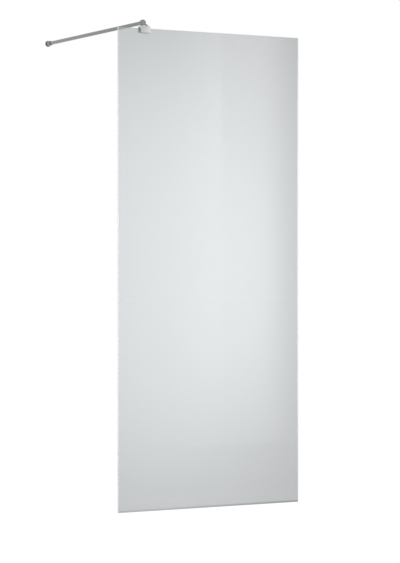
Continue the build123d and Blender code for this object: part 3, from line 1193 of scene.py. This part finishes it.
@dataclass
class Bar:
    """The support bar with its swivel head, cap, plug and screws. Sizes are in metres."""

    body: str = "bar"
    tube_wall: float = 1.0 * MM
    tube_edge: float = 0.25 * MM
    head_front_round: float = 0.9 * MM
    head_back_round: float = 0.4 * MM
    head_edge: float = 0.15 * MM
    seat_play: float = 0.05 * MM
    bar_seat_depth: float = 1.0 * MM
    cap_round: float = 0.35 * MM
    cap_crown: float = 0.12 * MM
    screw_radius: float = 2.5 * MM
    screw_point: float = 0.5 * MM
    screw_pitch: float = 0.8 * MM
    screw_key: float = 1.5 * MM
    screw_key_depth: float = 1.8 * MM
    shank: float = 1.0 * MM
    thread_play: float = 0.02 * MM
    pivot_grip: float = 7.0 * MM
    pivot_head: float = 4.5 * MM
    pivot_key: float = 2.0 * MM
    pivot_key_depth: float = 2.5 * MM
    axis_x: float = field(init=False)
    axis_z: float = field(init=False)
    bar_radius: float = field(init=False)

    def __post_init__(self) -> None:
        """Reads the bar axis from the frame."""
        tube = Span.of("support_bar")
        self.axis_x, self.axis_z = tube.centre.x, tube.centre.z
        self.bar_radius = tube.size.x / 2

    def build(self) -> None:
        """Builds every piece that swings with the bar."""
        self.tube()
        self.head()
        self.cap()
        self.countersunk_screw()
        self.plug()
        self.pivot_screw()

    def seat(self, y: float) -> Matrix:
        """Placement on the bar axis, pointing to the wall."""
        return Facing.TO_WALL.seat(self.axis_x, y, self.axis_z)

    def tube(self) -> None:
        """Round tube with deburred ends."""
        span = Span.of("support_bar")
        inside = self.bar_radius - self.tube_wall
        profile = rings(
            [
                Corner(0.0, inside, self.tube_edge),
                Corner(0.0, self.bar_radius, self.tube_edge),
                Corner(span.size.y, self.bar_radius, self.tube_edge),
                Corner(span.size.y, inside, self.tube_edge),
            ]
        )
        tube = placed("support_bar_drawn", [(turned(profile, 96), self.seat(span.low.y))])
        present(tube, BAR_METAL, self.body, "support_bar")

    def head(self) -> None:
        """Turned head, cut flat underneath and bored for the cap, the bar and both screws."""
        span = Span.of("swivel_head")
        cap = Span.of("head_cap")
        screw = Span.of("bar_screw")
        radius, length = span.size.x / 2, span.size.y
        recess = cap.high.y - span.low.y
        recess_radius = cap.size.x / 2 + self.seat_play
        hole = self.screw_radius + self.seat_play
        sink = screw.size.x / 2 + self.seat_play
        bar_seat = self.bar_radius + self.seat_play
        profile = rings(
            [
                Corner(0.0, recess_radius, self.head_edge),
                Corner(0.0, radius, self.head_front_round),
                Corner(length, radius, self.head_back_round),
                Corner(length, bar_seat, self.head_edge),
                Corner(length - self.bar_seat_depth, bar_seat),
                Corner(length - self.bar_seat_depth, hole),
                Corner(recess + sink - hole, hole),
                Corner(recess, sink),
                Corner(recess, recess_radius),
            ]
        )
        head = placed("swivel_head_turned", [(turned(profile, 96), self.seat(span.low.y))])
        carve(head, [self.flat_tool(), self.pivot_hole_tool()])
        break_edges(head, self.head_edge)
        present(head, HEAD_METAL, self.body, "swivel_head")

    def flat_tool(self) -> bpy.types.Object:
        """Cutter for the flat that the head stands on."""
        span = Span.of("swivel_head")
        side = 2 * span.size.x
        blank = slab(side, side, side, CUTTER_CORNER, 0.1 * MM)
        seat = Facing.UP.seat(self.axis_x, span.centre.y, span.low.z - side)
        return placed("flat_tool", [(blank, seat)])

    def pivot_hole_tool(self) -> bpy.types.Object:
        """Cutter for the threaded hole of the pivot screw, with a bevelled mouth."""
        span = Span.of("swivel_head")
        screw = Span.of("pivot_screw")
        radius = self.screw_radius + self.thread_play
        bevel = 0.3 * MM
        steps = [
            Ring(-OVERRUN, 0.0),
            Ring(-OVERRUN, radius + bevel + OVERRUN),
            Ring(bevel, radius),
            Ring(self.pivot_grip, radius),
            Ring(self.pivot_grip + 0.4 * MM, 0.0),
        ]
        seat = Facing.UP.seat(self.axis_x, screw.centre.y, span.low.z)
        return placed("pivot_hole_tool", [(turned(steps, 48), seat)])

    def cap(self) -> None:
        """Crowned cap pressed into the front of the head."""
        span = Span.of("head_cap")
        radius, thickness = span.size.x / 2, span.size.y
        rim = radius - self.cap_round
        rises = [(share / 6, self.cap_crown * (share / 6) ** 2) for share in range(6)]
        crown = [Ring(drop, rim * share) for share, drop in rises]
        sides = rings(
            [
                Corner(self.cap_crown, rim),
                Corner(self.cap_crown, radius, self.cap_round),
                Corner(thickness, radius, 0.1 * MM),
                Corner(thickness, 0.0),
            ],
            closed=False,
        )
        cap = placed("head_cap_turned", [(turned([*crown, *sides], 96), self.seat(span.low.y))])
        present(cap, HEAD_METAL, self.body, "head_cap")

    def countersunk_screw(self) -> None:
        """Countersunk screw from the head into the plug."""
        span = Span.of("bar_screw")
        length, head_radius = span.size.y, span.size.x / 2
        cone = head_radius - self.screw_radius
        profile = [
            *key_socket(self.screw_key, self.screw_key_depth),
            Ring(0.0, head_radius - 0.1 * MM),
            Ring(0.1 * MM, head_radius),
            Ring(0.2 * MM, head_radius - 0.05 * MM),
            Ring(cone, self.screw_radius),
            *threaded(cone + self.shank, length - self.screw_point, self.screw_radius, self.screw_pitch),
            Ring(length, self.screw_radius - self.screw_point),
            Ring(length, 0.0),
        ]
        screw = placed("bar_screw_threaded", [(turned(profile, 48), self.seat(span.low.y))])
        present(screw, STEEL, self.body, "bar_screw")

    def plug(self) -> None:
        """Turned plug in the end of the tube, threaded for the screw."""
        span = Span.of("bar_plug")
        length, radius = span.size.y, span.size.x / 2
        hole = self.screw_radius + self.thread_play
        outside = soften(
            [
                Corner(0.0, hole, 0.0),
                Corner(0.0, radius, 0.4 * MM),
                Corner(length, radius, 0.6 * MM),
                Corner(length, hole, 0.0),
            ],
            closed=False,
        )
        profile = [Ring(point.x, point.y) for point in outside[:-1]]
        profile += threaded(length, self.screw_pitch, hole, self.screw_pitch, share=-0.5)
        plug = placed("bar_plug_turned", [(turned(profile, 48), self.seat(span.low.y))])
        present(plug, ALUMINIUM, self.body, "bar_plug")

    def pivot_screw(self) -> None:
        """Cap-head screw that the bar turns on, threaded where the head grips it."""
        span = Span.of("pivot_screw")
        length, head_radius = span.size.z, span.size.x / 2
        head = rings(
            [
                Corner(0.0, self.pivot_key),
                Corner(0.0, head_radius, 0.4 * MM),
                Corner(self.pivot_head, head_radius, 0.1 * MM),
                Corner(self.pivot_head, self.screw_radius),
            ],
            closed=False,
        )
        grip = length - self.pivot_grip - self.screw_pitch
        profile = [
            *key_socket(self.pivot_key, self.pivot_key_depth),
            *head[1:],
            *threaded(grip, length - self.screw_point, self.screw_radius, self.screw_pitch),
            Ring(length, self.screw_radius - self.screw_point),
            Ring(length, 0.0),
        ]
        seat = Facing.UP.seat(span.centre.x, span.centre.y, span.low.z)
        screw = placed("pivot_screw_threaded", [(turned(profile, 48), seat)])
        present(screw, STEEL, self.body, "pivot_screw")


@dataclass
class WallEnd:
    """The hub on the wall end of the bar, with its screw, washer, rose and ring."""

    hub_body: str = "wall_socket"
    rose_body: str = "rose"
    hub_play: float = 0.1 * MM
    hub_round: float = 0.8 * MM
    hub_back: float = 8.0 * MM
    hub_floor: float = 1.0 * MM
    stud_radius: float = 2.5 * MM
    stud_pitch: float = 0.8 * MM
    stud_bevel: float = 0.6 * MM
    screw_radius: float = 2.0 * MM
    screw_key: float = 1.0 * MM
    screw_key_depth: float = 1.3 * MM
    screw_pitch: float = 0.7 * MM
    screw_bevel: float = 0.3 * MM
    thread_play: float = 0.02 * MM
    washer_bore: float = 3.4 * MM
    rose_round: float = 1.6 * MM
    rose_edge: float = 0.3 * MM
    ring_play: float = 0.05 * MM

    def seat(self, y: float) -> Matrix:
        """Placement on the bar axis, pointing to the wall."""
        axis = Span.of("support_bar").centre
        return Facing.TO_WALL.seat(axis.x, y, axis.z)

    def build(self) -> None:
        """Builds every piece at the wall."""
        self.hub()
        self.set_screw()
        self.washer()
        self.rose()
        self.ring()

    def hub(self) -> None:
        """Collar that takes the bar from the front and a wall stud from the back."""
        span = Span.of("wall_hub")
        length, radius = span.size.y, span.size.x / 2
        bore = Span.of("support_bar").size.x / 2 + self.hub_play
        bore_floor = length - self.hub_back
        stud_floor = bore_floor + self.hub_floor
        stud_mouth = length - self.stud_bevel
        outside = rings(
            [
                Corner(bore_floor, 0.0),
                Corner(bore_floor, bore, 0.3 * MM),
                Corner(0.0, bore, 0.3 * MM),
                Corner(0.0, radius, self.hub_round),
                Corner(length, radius, 0.2 * MM),
                Corner(length, self.stud_radius + self.stud_bevel),
                Corner(stud_mouth, self.stud_radius),
            ],
            closed=False,
        )
        stud = threaded(stud_mouth, stud_floor, self.stud_radius, self.stud_pitch, share=-0.5)
        profile = [*outside[:-1], *stud, Ring(stud_floor, 0.0)]
        hub = placed("wall_hub_turned", [(turned(profile, 96), self.seat(span.low.y))])
        carve(hub, [self.screw_tool()])
        present(hub, SOCKET_METAL, self.hub_body, "wall_hub")

    def screw_tool(self) -> bpy.types.Object:
        """Cutter for the hole of the set screw, bevelled at the mouth."""
        screw = Span.of("hub_screw")
        radius = self.screw_radius + self.thread_play
        steps = drill((-OVERRUN, radius + OVERRUN), (0.0, radius), (2 * screw.size.z, radius))
        seat = Facing.UP.seat(screw.centre.x, screw.centre.y, screw.low.z)
        return placed("hub_hole_tool", [(turned(steps, 48), seat)])

    def set_screw(self) -> None:
        """Small set screw that grips the bar."""
        span = Span.of("hub_screw")
        length, bevel = span.size.z, self.screw_bevel
        profile = [
            *key_socket(self.screw_key, self.screw_key_depth, lead=0.15 * MM),
            Ring(0.0, self.screw_radius - bevel),
            *threaded(bevel, length - bevel, self.screw_radius, self.screw_pitch),
            Ring(length, self.screw_radius - bevel),
            Ring(length, 0.0),
        ]
        seat = Facing.UP.seat(span.centre.x, span.centre.y, span.low.z)
        screw = placed("hub_screw_threaded", [(turned(profile, 48), seat)])
        present(screw, STEEL, self.hub_body, "hub_screw")

    def washer(self) -> None:
        """Soft washer between the hub and the tiles."""
        shape, _ = washer_of("wall_washer", self.washer_bore, Facing.TO_WALL)
        seat = self.seat(Span.of("wall_washer").low.y)
        present(placed("wall_washer_soft", [(shape, seat)]), LINER, self.hub_body, "wall_washer")

    def rose(self) -> None:
        """Cover plate round the hub, with a groove inside for its ring."""
        span = Span.of("wall_rose")
        ring = Span.of("rose_ring")
        length, radius = span.size.y, span.size.x / 2
        bore = Span.of("wall_hub").size.x / 2 + self.hub_play
        groove_front = ring.low.y - span.low.y - self.ring_play
        groove_back = ring.high.y - span.low.y + self.ring_play
        groove_radius = ring.size.x / 2 + self.ring_play
        profile = rings(
            [
                Corner(0.0, bore, self.rose_edge),
                Corner(0.0, radius, self.rose_round),
                Corner(length, radius, self.rose_edge),
                Corner(length, bore, self.rose_edge),
                Corner(groove_back, bore),
                Corner(groove_back, groove_radius),
                Corner(groove_front, groove_radius),
                Corner(groove_front, bore),
            ]
        )
        rose = placed("wall_rose_turned", [(turned(profile, 96), self.seat(span.low.y))])
        present(rose, SOCKET_METAL, self.rose_body, "wall_rose")

    def ring(self) -> None:
        """Rubber ring, round in section."""
        span = Span.of("rose_ring")
        section = span.size.y / 2
        middle = span.size.x / 2 - section
        sides = 20
        angles = [math.tau * side / sides for side in range(sides)]
        profile = [
            Ring(section * (1 - math.cos(angle)), middle + section * math.sin(angle))
            for angle in angles
        ]
        ring = placed("rose_ring_rubber", [(turned(profile), self.seat(span.low.y))])
        present(ring, RUBBER, self.rose_body, "rose_ring")


# Studio


@dataclass(frozen=True)
class Reflector:
    """A tall soft reflector, bright in the middle, that stands square to Y out of the camera's sight.

    Attributes:
        name: name of the reflector.
        y: where it stands.
        left: its lowest X.
        right: its highest X.
        bottom: its lowest Z.
        top: its highest Z.
        fades: how far its light fades in from the left, right, bottom and top, in metres.
        floor_level: the Z that the fade from the bottom starts at, which may be under the floor.
        brightness: how much brighter than the room its middle is.
        seam: X of the seam between its two cloths.
        seam_step: share of the light that the cloth right of the seam lacks at the top.
        seam_rise: the Z that this lack begins to grow at, and the Z that it is full at.
        seam_foot: share of that lack below there.
    """

    name: str
    y: float
    left: float
    right: float
    bottom: float
    top: float
    fades: tuple[float, float, float, float]
    floor_level: float
    brightness: float
    seam: float
    seam_step: float
    seam_rise: tuple[float, float] = (1.1, 1.9)
    seam_foot: float = 0.4

    def build(self) -> None:
        """Builds the reflector."""
        corners = [
            (self.left, self.bottom),
            (self.right, self.bottom),
            (self.right, self.top),
            (self.left, self.top),
        ]
        cloth = sheet(self.name, [(x, self.y, z) for x, z in corners])
        cloth.visible_camera = False
        cloth.data.materials.append(self.material())

    def material(self) -> bpy.types.Material:
        """Light of the cloth, as bright as the room at its rim."""
        nodes = Nodes(self.name)
        axes = nodes.add("SeparateXYZ", None, {"Vector": nodes.place()})
        x, z = nodes.wire(axes, "X"), nodes.wire(axes, "Z")
        left, right, bottom, top = self.fades
        across = nodes.ease(x, self.left, self.left + left) * nodes.ease(x, self.right, self.right - right)
        up = nodes.ease(z, self.floor_level, self.floor_level + bottom)
        up = up * nodes.ease(z, self.top, self.top - top)
        right_cloth = nodes.maths("GREATER_THAN", x, self.seam)
        high = self.seam_foot + (1.0 - self.seam_foot) * nodes.ease(z, *self.seam_rise)
        light = across * up * (1 - self.seam_step * right_cloth * high)
        peak = 1.0 + self.brightness
        level = (1.0 + self.brightness * light) * (1.0 / peak)
        grey = nodes.blend(level, BLACK, WHITE)
        return nodes.principled(
            {
                "Base Color": BLACK,
                "Specular IOR Level": 0.0,
                "Emission Color": grey,
                "Emission Strength": peak,
            }
        )


@dataclass(frozen=True)
class Lamp:
    """A flat soft lamp that stands square to Y and shows neither to the camera nor in the metal.

    Attributes:
        name: name of the lamp.
        place: its middle.
        width: its side along X.
        height: its side along Z.
        power: its light, in watts.
        to_wall: whether it shines towards the wall, or the other way.
    """

    name: str
    place: tuple[float, float, float]
    width: float
    height: float
    power: float
    to_wall: bool

    def build(self) -> None:
        """Builds the lamp."""
        data = bpy.data.lights.new(self.name, "AREA")
        data.shape = "RECTANGLE"
        data.size, data.size_y = self.width, self.height
        data.energy = self.power
        lamp = linked(self.name, data)
        lamp.location = self.place
        lamp.rotation_euler = (math.pi / 2, 0.0, 0.0 if self.to_wall else math.pi)
        lamp.visible_camera = False
        lamp.visible_glossy = False


@dataclass
class Studio:
    """White room, soft lights and the camera of the photograph. Sizes are in metres and degrees."""

    floor_side: float = 120.0
    floor_drop: float = 0.5 * MM
    floor_albedo: float = 0.03
    floor_glow: float = 0.97
    camera_place: tuple[float, float, float] = (-4.328, -7.683, 1.0023)
    camera_tilt: float = -0.327
    camera_turn: float = -29.12
    lens: float = 133.80
    lights: tuple[Lamp | Reflector, ...] = (
        Lamp("front_lamp", (-0.156, -0.61, 1.034), 1.009, 1.859, power=54.5, to_wall=True),
        Lamp("back_lamp", (0.156, 0.61, 1.2), 1.009, 1.5, power=40.0, to_wall=False),
        Reflector(
            name="front_reflector",
            y=-2.5,
            left=1.05,
            right=2.014,
            bottom=0.02,
            top=4.17,
            fades=(0.75, 0.29, 1.445, 1.82),
            floor_level=-0.464,
            brightness=2.5,
            seam=1.481,
            seam_step=0.39,
        ),
    )

    def build(self) -> None:
        """Sets up everything round the object."""
        self.world()
        self.floor()
        self.camera()
        for light in self.lights:
            light.build()
        bpy.context.scene.view_settings.view_transform = "Standard"

    def world(self) -> None:
        """Even white surroundings."""
        world = bpy.data.worlds.new("white_room")
        world.use_nodes = True
        background = world.node_tree.nodes["Background"]
        background.inputs["Color"].default_value = WHITE
        bpy.context.scene.world = world

    def floor(self) -> None:
        """Plain white floor, which glows a little so that it meets the room without a line."""
        half = self.floor_side / 2
        corners = [(-half, -half), (half, -half), (half, half), (-half, half)]
        floor = sheet("floor", [(x, y, -self.floor_drop) for x, y in corners])
        feeds = {
            "Base Color": opaque((self.floor_albedo,) * 3),
            "Specular IOR Level": 0.0,
            "Emission Color": WHITE,
            "Emission Strength": self.floor_glow,
        }
        floor.data.materials.append(Nodes("floor_white").principled(feeds))

    def camera(self) -> None:
        """Camera that sees the screen as the photograph does."""
        data = bpy.data.cameras.new("camera")
        data.lens = self.lens
        camera = linked("camera", data)
        camera.location = self.camera_place
        tilt, turn = math.radians(90 + self.camera_tilt), math.radians(self.camera_turn)
        camera.rotation_euler = (tilt, 0.0, turn)
        bpy.context.scene.camera = camera


def main() -> None:
    """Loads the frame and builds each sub-assembly round it."""
    logging.basicConfig(level=logging.INFO, format="%(message)s")
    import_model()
    for assembly in (Pane(), Clamp(), Bar(), WallEnd(), Studio()):
        assembly.build()
        LOG.info("%s: done", type(assembly).__name__)


if __name__ == "__main__":
    main()
